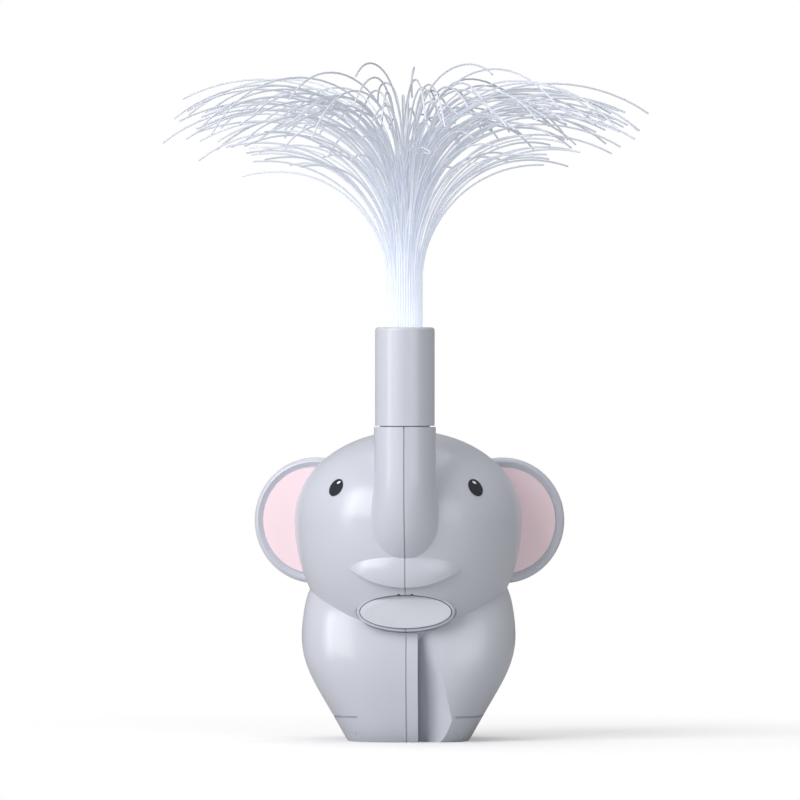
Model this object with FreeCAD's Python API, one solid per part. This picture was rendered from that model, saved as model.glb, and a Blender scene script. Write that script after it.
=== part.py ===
"""Fibre optic lamp: a moulded elephant whose raised trunk holds a spray of light-guide fibres.

Millimetres. +Z is up, the elephant faces -Y, and +X is to the right of someone who looks at its face.
The origin is on the flat base, in the plane where the two halves of the body meet.
"""
import FreeCAD, Part
import functools
import math
import os

os.makedirs("parts", exist_ok=True)
V = FreeCAD.Vector

# Walls, gaps and seam
WALL = 2.0
GAP = 0.3
SEAT_GAP = 0.15
SEAM_HALF_WIDTH = 0.22
SEAM_DEPTH = 0.5
CUT_OVER = 1.0
TINY = 1e-6

# Body below the neck: height, half width, depth to the front and depth to the rear
BODY_STATIONS = [
    (0.0, 24.2, 26.5, 26.5),
    (10.0, 30.0, 31.0, 31.0),
    (20.0, 35.8, 33.0, 33.6),
    (31.0, 40.9, 33.8, 35.2),
    (43.0, 42.6, 31.8, 35.6),
    (52.0, 41.7, 28.8, 35.0),
    (60.0, 39.6, 22.5, 33.0),
    (68.0, 33.5, 14.0, 28.5),
    (75.0, 22.0, 6.0, 18.0),
]
BODY_SQUARENESS = 3.2
BODY_SECTION_POINTS = 28

# Head: an egg with its widest line at HEAD_Z
HEAD_Y = -6.0
HEAD_Z = 88.4
HEAD_HALF_WIDTH = 45.4
HEAD_HALF_DEPTH = 42.0
HEAD_RISE = 35.2
HEAD_DROP = 55.6

# Trunk: an upright pipe that bends back into the face on a widening arc
TRUNK_Y = -46.0
TRUNK_TOP_Z = 125.2
TRUNK_TOP_RADIUS = 12.2
TRUNK_ROOT_RADIUS = 18.5
TRUNK_BEND_RADIUS = 24.0
TRUNK_BEND_Z = 105.0
TRUNK_BEND_STEPS = 4

# Lower lip: a crescent shelf under the trunk
LIP_Y = -33.0
LIP_Z = 68.5
LIP_HALF_WIDTH = 25.0
LIP_HALF_DEPTH = 14.5
LIP_HALF_HEIGHT = 15.0
LIP_LOW_Z = 61.8
LIP_EDGE_RADIUS = 37.0

# Groove between the front legs, beside the flat chest strip of the right half
CHEST_STRIP_X = 4.6
GROOVE_TOP_Z = 44.5
GROOVE_TOP_WIDTH = 6.5
GROOVE_BASE_WIDTH = 15.5
GROOVE_TOP_DEPTH = 4.0
GROOVE_BASE_DEPTH = 8.0
GROOVE_OUT_Y = -60.0
GROOVE_MOUTH_OUT = 1.0
GROOVE_MIDDLE_ACROSS = 0.42
GROOVE_MIDDLE_DEEP = 0.34
GROOVE_INSET_ACROSS = 0.3
GROOVE_INSET_DEEP = 0.75

# Ankle creases and toe nicks
CREASE_Z = 10.0
CREASE_HEIGHT = 0.9
CREASE_DEPTH = 0.8
CREASE_INNER_X = 19.5
CREASE_BACK_Y = -4.0
TOE_NICK_RADIUS = 0.8
TOE_NICK_HEIGHT = 4.2
TOE_NICK_STAND_OFF = 0.6
TOE_NICK_LEAN = 0.5
TOE_NICK_ANGLES = (32.0, 41.0, 50.0)

# Ears
EAR_RADIUS = 25.2
EAR_X = 37.4
EAR_Y = 3.0
EAR_Z = 87.6
EAR_SWEEP = 12.0
EAR_THICKNESS = 3.6
EAR_RIM_RADIUS = 1.8
EAR_RIM_BULGE = 0.4
EAR_GROOVE_WIDTH = 1.6
EAR_GROOVE_DEPTH = 0.9
EAR_LINING_RADIUS = 21.2
EAR_LINING_DEPTH = 0.8
EAR_LINING_FIT = 0.05
EAR_TAB_WIDTH = 26.0
EAR_TAB_THICKNESS = 2.0
EAR_TAB_REACH = 3.5
EAR_TAB_LENGTH = 14.0

# Eyes
EYE_X = 27.6
EYE_Z = 101.2
EYE_LONG = 3.7
EYE_SHORT = 2.3
EYE_TILT = 33.0
EYE_PROUD = 0.25
EYE_DEPTH = 1.2
EYE_FIT = 0.05

# Mode button and the switch behind it
BUTTON_Z = 52.1
BUTTON_HALF_WIDTH = 18.0
BUTTON_HALF_HEIGHT = 6.5
BUTTON_FACE_Y = -36.8
BUTTON_LEAN = 8.0
BUTTON_THICKNESS = 4.0
BUTTON_CROWN = 1.2
BUTTON_CROWN_ACROSS = 2.0
BUTTON_CROWN_UP = 1.9
BUTTON_CROWN_SINK = 0.5
BUTTON_FLANGE = 1.6
BUTTON_FLANGE_THICKNESS = 1.2
BUTTON_TRAVEL = 1.2
BUTTON_OVERTRAVEL = 0.15
BUTTON_STEM_RADIUS = 2.4
BUTTON_GUIDE_LENGTH = 7.0
BUTTON_GUIDE_WALL = 1.5
BEZEL_MARGIN = 1.2
NOTCH_X = 2.6
NOTCH_WIDTH = 0.9
NOTCH_DEPTH = 0.7

# Main circuit board
BOARD_Y = -20.0
BOARD_THICKNESS = 1.6
BOARD_HALF_WIDTH = 15.0
BOARD_HALF_HEIGHT = 13.5
BOARD_HOLE_X = 12.0
BOARD_HOLE_RISE = 10.8
BOARD_BOSS_RADIUS = 2.6
SWITCH_SIDE = 6.0
SWITCH_BODY = 3.5
SWITCH_PLUNGER_RADIUS = 1.75
SWITCH_PLUNGER = 1.5
CHIP_LENGTH = 8.6
CHIP_WIDTH = 5.0
CHIP_HEIGHT = 1.6

# Small screws of the board
BOARD_SCREW_RADIUS = 1.0
BOARD_SCREW_LENGTH = 6.0
BOARD_SCREW_HEAD_RADIUS = 2.0
BOARD_SCREW_HEAD = 1.3

# Cross recess of every screw, as shares of the shank's radius and of the head's height
RECESS_LENGTH = 2.2
RECESS_WIDTH = 0.55
RECESS_DEPTH = 0.6

# Screws that close the two halves: places given as depth and height
SHELL_SCREW_PLACES = [(-3.0, 31.0), (18.0, 68.0), (-4.0, 111.0)]
SHELL_SCREW_RADIUS = 1.45
SHELL_SCREW_LENGTH = 16.0
SHELL_SCREW_HEAD_RADIUS = 2.8
SHELL_SCREW_HEAD = 2.2
SHELL_SCREW_SEAT_X = -12.0
SHELL_SCREW_HOLE_GAP = 0.05
SHELL_SCREW_WEB = 2.5
COUNTERBORE_RADIUS = 3.4
LEFT_BOSS_RADIUS = 4.9
RIGHT_BOSS_RADIUS = 3.4
PILOT_DEPTH = 12.0

# Battery bay: three upright cells behind a door in the back
CELL_RADIUS = 5.25
CELL_LENGTH = 44.5
CELL_PITCH = 11.0
CELL_COUNT = 3
CELL_Y = 16.0
CELL_NUB_RADIUS = 1.9
CELL_NUB = 0.8
CELL_END_PLAY = 0.2
BOX_WALL = 1.5
BOX_CLEAR = 0.5
BOX_OPEN_Y = 22.3
BAY_FRONT_Y = 5.0
CONTACT_THICKNESS = 0.5
CONTACT_MARGIN = 0.8
SPRING_RISE = 2.6
SPRING_TURNS = 3
SPRING_RADIUS = 3.2
SPRING_WIRE = 0.35
SPRING_SIDES = 8
DOOR_BOSS_RADIUS = 3.2
DOOR_BOSS_ROOT = 4.0
DOOR_PILOT_DEPTH = 5.0

# Battery door
DOOR_HALF_WIDTH = 16.6
DOOR_LOW_Z = 6.3
DOOR_HIGH_Z = 59.4
DOOR_GAP = 0.35
DOOR_SCREW_Z = 55.8
DOOR_SCREW_RADIUS = 1.3
DOOR_SCREW_HEAD_RADIUS = 2.5
DOOR_SCREW_HEAD = 1.2
DOOR_SCREW_TIP = 2.2
DOOR_SCREW_TIP_RADIUS = 0.3
DOOR_SCREW_SHANK = 1.8
DOOR_SCREW_SINK = 0.4
DOOR_TONGUE_X = 10.0
DOOR_TONGUE_WIDTH = 5.0
DOOR_TONGUE_THICKNESS = 1.4
DOOR_TONGUE_DROP = 2.6
DOOR_TONGUE_ROOT = 3.0
DOOR_BRIDGE_BACK = 1.6
DOOR_BRIDGE_RISE = 0.4
DOOR_FRONT_Y = 15.0
DOOR_RIB_WIDTH = 1.2
DOOR_RIB_FOOT = 4.0
DOOR_RIB_HEAD = 9.0

# Collar on the trunk, and the spigot that carries it
COLLAR_RADIUS = 11.75
COLLAR_TOP_Z = 164.4
COLLAR_WALL = 1.6
COLLAR_TOP_THICKNESS = 3.0
COLLAR_EDGE_RADIUS = 1.2
COLLAR_SHADOW_GAP = 0.45
SPIGOT_WALL = 1.6
SPIGOT_RISE = 14.0
SLEEVE_WALL = 1.3

# Ferrule and light-guide fibres
FIBRE_RADIUS = 0.375
FIBRE_PITCH = 0.95
FIBRE_RINGS = 7
FIBRE_SIDES = 6
FERRULE_WALL = 1.0
FERRULE_LENGTH = 16.0
FERRULE_FOOT_Z = 141.0

# Fountain of fibres: where a strand starts to bend, how tightly, and how far it droops
BEND_START_OUTER_Z = 184.0
BEND_START_INNER_Z = 214.0
BEND_RADIUS = 50.0
BEND_RADIUS_SPREAD = 9.0
TIP_RADIUS = 64.0
TIP_RADIUS_SPREAD = 26.0
TIP_LENGTH_OUTER = 10.0
TIP_LENGTH_INNER = 56.0
TIP_LENGTH_SPREAD = 16.0
UPRIGHT_LEAN = 22.0
BEND_START_SPREAD = 8.0
LIFT_POWER = 0.45
RING_TWIST = 0.4
WANDER_INNER = 2.6
WANDER_FALL = 2.0

# Steps that spread the strands' differences evenly, with no two alike
HEADING_STEP = 0.618034
START_STEP = 0.381966
RADIUS_STEP = 0.754878
TURN_STEP = 0.569840
DROOP_STEP = 0.255
LENGTH_STEP = 0.4656

# Light source in the top of the trunk
LED_RADIUS = 2.5
LED_FLANGE_RADIUS = 2.9
LED_BODY = 6.1
LED_FLANGE = 1.0
LED_BOARD_THICKNESS = 1.2
LED_BOARD_Z = 126.0
CUP_WALL = 1.0
CUP_LENGTH = 9.5

# Wires clipped inside the halves
WIRE_RADIUS = 0.6
WIRE_PITCH = 1.5
WIRE_BEND_SHARE = 0.45

UP = V(0, 0, 1)
BACK = V(0, 1, 0)
RIGHT = V(1, 0, 0)
BIG = 200.0


def box(x0, x1, y0, y1, z0, z1):
    """A block between two corners."""
    return Part.makeBox(x1 - x0, y1 - y0, z1 - z0, V(x0, y0, z0))


def cylinder(radius, length, base, axis):
    """A round bar from its base point along its axis."""
    return Part.makeCylinder(radius, length, base, axis)


def tube(outer, inner, length, base, axis):
    """A round bar with a through bore."""
    return cylinder(outer, length, base, axis).cut(cylinder(inner, length, base, axis))


def fuse(first, *others):
    """One solid from solids that touch."""
    return first.fuse(list(others)).removeSplitter()


def single(shape):
    """The largest solid of a shape, without the slivers that a cut may leave."""
    return max(shape.Solids, key=lambda solid: solid.Volume)


def mirrored(shape):
    """The same shape on the other side of the parting plane."""
    return shape.mirror(V(0, 0, 0), RIGHT)


def superellipse_wire(z, half_width, front, rear):
    """One closed body section: rounder than a box and flatter than an ellipse."""
    power = 2.0 / BODY_SQUARENESS
    points = []
    for step in range(BODY_SECTION_POINTS):
        angle = 2 * math.pi * step / BODY_SECTION_POINTS - math.pi / 2
        across = math.copysign(abs(math.cos(angle)) ** power, math.cos(angle))
        along = math.copysign(abs(math.sin(angle)) ** power, math.sin(angle))
        depth = rear if along > 0 else front
        points.append(V(half_width * across, depth * along, z))
    curve = Part.BSplineCurve()
    curve.interpolate(points, PeriodicFlag=True)
    return Part.Wire([curve.toShape()])


@functools.lru_cache(maxsize=None)
def body_form(inset=0.0):
    """The body below the neck, with every wall moved in by the inset."""
    wires = [
        superellipse_wire(z, width - inset, front - inset, rear - inset)
        for z, width, front, rear in BODY_STATIONS
    ]
    form = Part.makeLoft(wires, True, False)
    form = form.cut(groove_tool(inset))
    if inset:
        form = form.cut(box(-BIG, BIG, -BIG, BIG, -BIG, inset))
    return form


def groove_section(z, width, depth, inset):
    """The groove at one height: a straight step on the chest strip and a rounded leg."""
    near = V(CHEST_STRIP_X - inset, GROOVE_OUT_Y, z)
    front = -front_depth(z)
    step = V(CHEST_STRIP_X - inset, front + depth + inset, z)
    far = V(CHEST_STRIP_X + width + inset, front - GROOVE_MOUTH_OUT, z)
    out = V(CHEST_STRIP_X + width + inset, GROOVE_OUT_Y, z)
    middle = V(
        CHEST_STRIP_X + width * GROOVE_MIDDLE_ACROSS + inset * GROOVE_INSET_ACROSS,
        front + depth * GROOVE_MIDDLE_DEEP + inset * GROOVE_INSET_DEEP,
        z,
    )
    edges = [
        Part.LineSegment(near, step).toShape(),
        Part.Arc(step, middle, far).toShape(),
        Part.LineSegment(far, out).toShape(),
        Part.LineSegment(out, near).toShape(),
    ]
    return Part.Wire(edges)


def front_depth(z):
    """Depth of the body's front at a height, between its stations."""
    for low, high in zip(BODY_STATIONS, BODY_STATIONS[1:]):
        if low[0] <= z <= high[0]:
            share = (z - low[0]) / (high[0] - low[0])
            return low[2] + share * (high[2] - low[2])
    return BODY_STATIONS[0][2]


def groove_tool(inset):
    """The space between the legs, grown by the inset so that the wall behind it keeps its thickness."""
    below = groove_section(-CUT_OVER, GROOVE_BASE_WIDTH, GROOVE_BASE_DEPTH, inset)
    above = groove_section(GROOVE_TOP_Z + inset, GROOVE_TOP_WIDTH, GROOVE_TOP_DEPTH, inset)
    return Part.makeLoft([below, above], True, True)


def scaled_ball(centre, half_x, half_y, half_z):
    """An ellipsoid."""
    ball = Part.makeSphere(1.0)
    matrix = FreeCAD.Matrix()
    matrix.scale(half_x, half_y, half_z)
    ball = ball.transformGeometry(matrix)
    ball.translate(centre)
    return ball


@functools.lru_cache(maxsize=None)
def head_form(inset=0.0):
    """The egg-shaped head."""
    centre = V(0, HEAD_Y, HEAD_Z)
    width = HEAD_HALF_WIDTH - inset
    depth = HEAD_HALF_DEPTH - inset
    upper = scaled_ball(centre, width, depth, HEAD_RISE - inset)
    lower = scaled_ball(centre, width, depth, HEAD_DROP - inset)
    upper = upper.common(box(-BIG, BIG, -BIG, BIG, HEAD_Z, BIG))
    lower = lower.common(box(-BIG, BIG, -BIG, BIG, -BIG, HEAD_Z))
    return fuse(upper, lower)


def trunk_form(inset=0.0, top=TRUNK_TOP_Z):
    """The trunk: a straight pipe and a bend that widens into the face."""
    radius = TRUNK_TOP_RADIUS - inset
    straight = cylinder(radius, top - TRUNK_BEND_Z, V(0, TRUNK_Y, TRUNK_BEND_Z), UP)
    centre = V(0, TRUNK_Y + TRUNK_BEND_RADIUS, TRUNK_BEND_Z)
    rings = []
    for step in range(TRUNK_BEND_STEPS + 1):
        share = step / TRUNK_BEND_STEPS
        angle = share * math.pi / 2
        here = centre + V(0, -math.cos(angle), -math.sin(angle)) * TRUNK_BEND_RADIUS
        along = V(0, math.sin(angle), -math.cos(angle))
        swell = (TRUNK_ROOT_RADIUS - TRUNK_TOP_RADIUS) * share * share * (3 - 2 * share)
        circle = Part.Circle(here, along, radius + swell)
        rings.append(Part.Wire([circle.toShape()]))
    return fuse(straight, Part.makeLoft(rings, True, False))


def lip_form(inset=0.0):
    """The crescent lip: a flattened ball cut off below along a smiling arc."""
    ball = scaled_ball(
        V(0, LIP_Y, LIP_Z),
        LIP_HALF_WIDTH - inset,
        LIP_HALF_DEPTH - inset,
        LIP_HALF_HEIGHT - inset,
    )
    centre = V(0, -BIG / 2, LIP_LOW_Z + LIP_EDGE_RADIUS)
    edge = cylinder(LIP_EDGE_RADIUS - inset, BIG / 2, centre, BACK)
    return ball.common(edge)


def oval_bar(half_width, half_height, z, y0, y1):
    """An oval bar along Y."""
    if half_width > half_height:
        curve = Part.Ellipse(V(0, 0, 0), half_width, half_height)
    else:
        curve = Part.Circle(V(0, 0, 0), V(0, 0, 1), half_width)
    face = Part.Face(Part.Wire([curve.toShape()]))
    face.rotate(V(0, 0, 0), RIGHT, 90)
    face.translate(V(0, y0, z))
    return face.extrude(V(0, y1 - y0, 0))


def leaning_face(offset):
    """A half space behind the button's leaning face, moved out by the offset."""
    block = box(-BIG, BIG, 0, BIG, -BIG, BIG)
    block.rotate(V(0, 0, 0), RIGHT, BUTTON_LEAN)
    block.translate(V(0, BUTTON_FACE_Y - offset, BUTTON_Z))
    return block


def bezel_form():
    """A low oval land round the button, so that the gap round it stays even."""
    bar = oval_bar(
        BUTTON_HALF_WIDTH + BEZEL_MARGIN,
        BUTTON_HALF_HEIGHT + BEZEL_MARGIN,
        BUTTON_Z,
        -BIG / 2,
        BOARD_Y - BUTTON_GUIDE_LENGTH,
    )
    return bar.common(leaning_face(0.0))


@functools.lru_cache(maxsize=None)
def outer_form(inset=0.0):
    """Everything outside: body, head, trunk and lip in one form."""
    forms = [head_form(inset), trunk_form(inset, TRUNK_TOP_Z - inset), lip_form(inset)]
    if not inset:
        forms.append(bezel_form())
    return body_form(inset).fuse(forms)


def ankle_tools():
    """The two creases above the feet."""
    inner = body_form(CREASE_DEPTH)
    high = CREASE_Z + CREASE_HEIGHT / 2
    low = CREASE_Z - CREASE_HEIGHT / 2
    tools = []
    for side in (-1, 1):
        x0, x1 = sorted((side * CREASE_INNER_X, side * BIG))
        tools.append(box(x0, x1, -BIG, CREASE_BACK_Y, low, high).cut(inner))
    return tools


def toe_tools():
    """Small upright nicks between the toes, round the outer front corner of each foot."""
    tools = []
    width, depth = BODY_STATIONS[0][1], BODY_STATIONS[0][2]
    power = 2.0 / BODY_SQUARENESS
    for side in (-1, 1):
        for degrees in TOE_NICK_ANGLES:
            angle = math.radians(degrees)
            x = side * (width + TOE_NICK_STAND_OFF) * math.cos(angle) ** power
            y = -(depth + TOE_NICK_STAND_OFF) * math.sin(angle) ** power
            lean = V(side * TOE_NICK_LEAN * math.cos(angle), -TOE_NICK_LEAN * math.sin(angle), 1)
            tools.append(cylinder(TOE_NICK_RADIUS, TOE_NICK_HEIGHT + CUT_OVER, V(x, y, -CUT_OVER), lean))
    return tools


def boss_places():
    """Screw centres in the parting plane."""
    return [V(0, y, z) for y, z in SHELL_SCREW_PLACES]


def door_window(margin, y0, y1):
    """The block that the door fills, grown by a margin."""
    return box(
        -DOOR_HALF_WIDTH - margin,
        DOOR_HALF_WIDTH + margin,
        y0,
        y1,
        DOOR_LOW_Z - margin,
        DOOR_HIGH_Z + margin,
    )


def board_bosses():
    """Posts from the front wall back to the circuit board."""
    posts = []
    for x in (-BOARD_HOLE_X, BOARD_HOLE_X):
        for rise in (-BOARD_HOLE_RISE, BOARD_HOLE_RISE):
            base = V(x, BOARD_Y, BUTTON_Z + rise)
            posts.append(cylinder(BOARD_BOSS_RADIUS, BIG / 2, base, V(0, -1, 0)))
    return posts


def board_pilots():
    """Screw holes in those posts."""
    length = BOARD_SCREW_LENGTH
    pilots = []
    for x in (-BOARD_HOLE_X, BOARD_HOLE_X):
        for rise in (-BOARD_HOLE_RISE, BOARD_HOLE_RISE):
            base = V(x, BOARD_Y + BOARD_THICKNESS, BUTTON_Z + rise)
            pilots.append(cylinder(BOARD_SCREW_RADIUS + SHELL_SCREW_HOLE_GAP, length, base, V(0, -1, 0)))
    return pilots


def spigot_inner():
    """Bore radius of the spigot."""
    return collar_inner() - GAP - SPIGOT_WALL


def collar_inner():
    """Bore radius of the collar."""
    return COLLAR_RADIUS - COLLAR_WALL


def half_space(side, start=0.0):
    """Everything on one side of the parting plane, from a distance off it."""
    x0, x1 = sorted((side * start, side * BIG))
    return box(x0, x1, -BIG, BIG, -BIG, BIG)


def seamed_half(side, hollow):
    """One half of the hollow form, with the outer edge of its joint set back into a fine line."""
    x0, x1 = sorted((0.0, side * SEAM_HALF_WIDTH))
    strip = hollow.common(box(x0, x1, -BIG, BIG, -BIG, BIG)).common(outer_form(SEAM_DEPTH))
    return hollow.common(half_space(side, SEAM_HALF_WIDTH)).fuse(strip)


def shell_screw_cuts(side):
    """Counterbores and through holes on the left, pilot holes on the right."""
    cuts = []
    hole = SHELL_SCREW_RADIUS + SHELL_SCREW_HOLE_GAP
    for place in boss_places():
        seat = place + V(SHELL_SCREW_SEAT_X, 0, 0)
        if side < 0:
            cuts.append(cylinder(COUNTERBORE_RADIUS, BIG / 2, seat, V(-1, 0, 0)))
        cuts.append(cylinder(hole, PILOT_DEPTH - SHELL_SCREW_SEAT_X, seat, RIGHT))
    return cuts


def half_shell(side, outer, hollow):
    """One moulded half of the elephant, with its posts, bosses, shelf and openings."""
    half = half_space(side)
    boss_radius = LEFT_BOSS_RADIUS if side < 0 else RIGHT_BOSS_RADIUS
    spigot_base = V(0, TRUNK_Y, TRUNK_TOP_Z - WALL)
    additions = [post.common(outer).common(half) for post in board_bosses()]
    additions += [
        cylinder(boss_radius, BIG / 2, place, V(side, 0, 0)).common(outer) for place in boss_places()
    ]
    additions.append(cylinder(collar_inner() - GAP, SPIGOT_RISE + WALL, spigot_base, UP).common(half))
    additions.append(button_guide().common(half))
    additions = [piece for piece in additions if piece.Solids]
    shell = seamed_half(side, hollow).fuse(additions)

    bore_base = V(0, TRUNK_Y, TRUNK_TOP_Z - WALL - CUT_OVER)
    cuts = [cylinder(spigot_inner(), SPIGOT_RISE + WALL + 2 * CUT_OVER, bore_base, UP)]
    cuts += button_well() + board_pilots() + ankle_tools() + toe_tools() + shell_screw_cuts(side)
    cuts.append(door_window(DOOR_GAP, BAY_FRONT_Y, BIG / 2))
    cuts.append(ear_tab(side, SEAT_GAP))
    cuts.append(eye_bar(side, EYE_FIT, EYE_DEPTH + EYE_FIT))
    cuts = [tool for tool in cuts if tool.BoundBox.intersect(shell.BoundBox)]
    shell = shell.cut(cuts)
    return single(shell.fuse(led_shelf().common(half)))


def button_well():
    """The oval hole for the button and two little notches in its upper edge."""
    front_hole = oval_bar(
        BUTTON_HALF_WIDTH + GAP, BUTTON_HALF_HEIGHT + GAP, BUTTON_Z, -BIG / 2, well_floor_y()
    )
    counter = oval_bar(
        BUTTON_HALF_WIDTH + BUTTON_FLANGE + GAP,
        BUTTON_HALF_HEIGHT + BUTTON_FLANGE + GAP,
        BUTTON_Z,
        flange_front_y() - SEAT_GAP,
        well_floor_y(),
    )
    notches = []
    for x in (-NOTCH_X, NOTCH_X):
        top = BUTTON_Z + BUTTON_HALF_HEIGHT
        notches.append(
            box(x - NOTCH_WIDTH / 2, x + NOTCH_WIDTH / 2, -BIG / 2, flange_front_y(), top, top + NOTCH_DEPTH)
        )
    stem_hole = cylinder(BUTTON_STEM_RADIUS + GAP, BIG / 2, V(0, well_floor_y() - CUT_OVER, BUTTON_Z), BACK)
    room = stem_hole.common(box(-BIG, BIG, -BIG, BOARD_Y, -BIG, BIG))
    return [front_hole, counter, room] + notches


def flange_front_y():
    """Where the button's flange meets the back of the well's lip."""
    return BUTTON_FACE_Y + BUTTON_THICKNESS


def well_floor_y():
    """Floor of the well: the flange can travel to just short of it."""
    return flange_front_y() + BUTTON_FLANGE_THICKNESS + BUTTON_TRAVEL + GAP


@functools.lru_cache(maxsize=None)
def button_guide():
    """A closed cup behind the button that carries its stem."""
    cup = oval_bar(
        BUTTON_HALF_WIDTH + BUTTON_FLANGE + GAP + BUTTON_GUIDE_WALL,
        BUTTON_HALF_HEIGHT + BUTTON_FLANGE + GAP + BUTTON_GUIDE_WALL,
        BUTTON_Z,
        BUTTON_FACE_Y + WALL,
        well_floor_y() + BUTTON_GUIDE_WALL,
    )
    return cup.common(outer_form(SEAT_GAP))


def mode_button():
    """The oval push button: a crowned cap, a flange that keeps it in, and a stem."""
    cap = oval_bar(BUTTON_HALF_WIDTH, BUTTON_HALF_HEIGHT, BUTTON_Z, -BIG / 2, flange_front_y())
    cap = cap.common(leaning_face(BUTTON_CROWN))
    crown = scaled_ball(
        V(0, 0, 0),
        BUTTON_HALF_WIDTH * BUTTON_CROWN_ACROSS,
        BUTTON_THICKNESS + BUTTON_CROWN,
        BUTTON_HALF_HEIGHT * BUTTON_CROWN_UP,
    )
    crown.rotate(V(0, 0, 0), RIGHT, BUTTON_LEAN)
    crown.translate(V(0, flange_front_y() - BUTTON_CROWN_SINK, BUTTON_Z))
    cap = cap.common(crown)
    flange = oval_bar(
        BUTTON_HALF_WIDTH + BUTTON_FLANGE,
        BUTTON_HALF_HEIGHT + BUTTON_FLANGE,
        BUTTON_Z,
        flange_front_y(),
        flange_front_y() + BUTTON_FLANGE_THICKNESS,
    )
    tip = plunger_tip_y() - BUTTON_TRAVEL - BUTTON_OVERTRAVEL
    stem = cylinder(
        BUTTON_STEM_RADIUS, tip - flange_front_y(), V(0, flange_front_y(), BUTTON_Z), BACK
    )
    return fuse(cap, flange, stem)


def plunger_tip_y():
    """Front end of the switch's plunger."""
    return BOARD_Y - SWITCH_BODY - SWITCH_PLUNGER


def push_switch():
    """A small square tactile switch on the front of the board."""
    half = SWITCH_SIDE / 2
    body = box(-half, half, BOARD_Y - SWITCH_BODY, BOARD_Y, BUTTON_Z - half, BUTTON_Z + half)
    plunger = cylinder(
        SWITCH_PLUNGER_RADIUS, SWITCH_PLUNGER, V(0, plunger_tip_y(), BUTTON_Z), BACK
    )
    return fuse(body, plunger)


def main_board():
    """The circuit board behind the button."""
    board = box(
        -BOARD_HALF_WIDTH,
        BOARD_HALF_WIDTH,
        BOARD_Y,
        BOARD_Y + BOARD_THICKNESS,
        BUTTON_Z - BOARD_HALF_HEIGHT,
        BUTTON_Z + BOARD_HALF_HEIGHT,
    )
    return board.cut(board_pilots())


def control_chip():
    """The chip that changes the colours, on the back of the board."""
    y = BOARD_Y + BOARD_THICKNESS
    half = CHIP_LENGTH / 2
    return box(-half, half, y, y + CHIP_HEIGHT, BUTTON_Z - CHIP_WIDTH / 2, BUTTON_Z + CHIP_WIDTH / 2)


def pan_screw(radius, length, head_radius, head, seat, axis):
    """A screw whose head sits on the seat point and whose shank runs along the axis."""
    shank = cylinder(radius, length, seat, axis)
    top = cylinder(head_radius, head, seat - axis * head, axis)
    slot_length = radius * RECESS_LENGTH
    slot_width = radius * RECESS_WIDTH
    slot = Part.makeBox(slot_length, slot_width, head * RECESS_DEPTH)
    slot.translate(V(-slot_length / 2, -slot_width / 2, 0))
    cross = slot.fuse(slot.rotated(V(0, 0, 0), UP, 90))
    cross.Placement = FreeCAD.Placement(seat - axis * head, FreeCAD.Rotation(UP, axis))
    return fuse(shank, top).cut(cross)


def board_screws():
    """Four screws that hold the board to its posts."""
    screws = []
    for x in (-BOARD_HOLE_X, BOARD_HOLE_X):
        for rise in (-BOARD_HOLE_RISE, BOARD_HOLE_RISE):
            seat = V(x, BOARD_Y + BOARD_THICKNESS, BUTTON_Z + rise)
            screws.append(
                pan_screw(
                    BOARD_SCREW_RADIUS,
                    BOARD_SCREW_LENGTH - GAP,
                    BOARD_SCREW_HEAD_RADIUS,
                    BOARD_SCREW_HEAD,
                    seat,
                    V(0, -1, 0),
                )
            )
    return Part.Compound(screws)


def shell_screws():
    """The screws that close the halves, put in from the left."""
    screws = []
    for place in boss_places():
        seat = place + V(SHELL_SCREW_SEAT_X, 0, 0)
        screws.append(
            pan_screw(
                SHELL_SCREW_RADIUS,
                SHELL_SCREW_LENGTH,
                SHELL_SCREW_HEAD_RADIUS,
                SHELL_SCREW_HEAD,
                seat,
                RIGHT,
            )
        )
    return Part.Compound(screws)


def ear_place(shape, side):
    """Turns a shape made round the Y axis to an ear's place."""
    placed = shape.copy()
    placed.rotate(V(0, 0, 0), UP, side * EAR_SWEEP)
    placed.translate(V(side * EAR_X, EAR_Y, EAR_Z))
    return placed


def ear_blank():
    """The ear as a turned disc: rolled rim, groove and flat dish."""
    front = -EAR_THICKNESS / 2
    back = EAR_THICKNESS / 2
    rim_centre = EAR_RADIUS - EAR_RIM_RADIUS
    groove_out = rim_centre - EAR_RIM_RADIUS
    groove_in = groove_out - EAR_GROOVE_WIDTH
    rim_mid = V(EAR_RADIUS, 0, 0)
    rim_front = V(rim_centre, -EAR_RIM_RADIUS - EAR_RIM_BULGE, 0)
    rim_back = V(rim_centre, EAR_RIM_RADIUS + EAR_RIM_BULGE, 0)
    groove_floor = front + EAR_GROOVE_DEPTH
    points_in = V(groove_out, groove_floor, 0)
    edges = [
        Part.LineSegment(V(0, back, 0), V(groove_out, back, 0)).toShape(),
        Part.LineSegment(V(groove_out, back, 0), rim_back).toShape(),
        Part.Arc(rim_back, rim_mid, rim_front).toShape(),
        Part.LineSegment(rim_front, points_in).toShape(),
        Part.LineSegment(points_in, V(groove_in, front, 0)).toShape(),
        Part.LineSegment(V(groove_in, front, 0), V(0, front, 0)).toShape(),
        Part.LineSegment(V(0, front, 0), V(0, back, 0)).toShape(),
    ]
    face = Part.Face(Part.Wire(edges))
    return face.revolve(V(0, 0, 0), V(0, 1, 0), 360)


def ear_tab(side, gap):
    """The tongue that passes through the wall of the head."""
    half_width = EAR_TAB_WIDTH / 2 + gap
    half = EAR_TAB_THICKNESS / 2 + gap
    tab = box(-EAR_TAB_LENGTH, 0, -half, half, -half_width, half_width)
    if side < 0:
        tab = mirrored(tab)
    root = box(0, EAR_RADIUS / 2, -half, half, -half_width, half_width)
    if side < 0:
        root = mirrored(root)
    return ear_place(tab.fuse(root), side)


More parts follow.
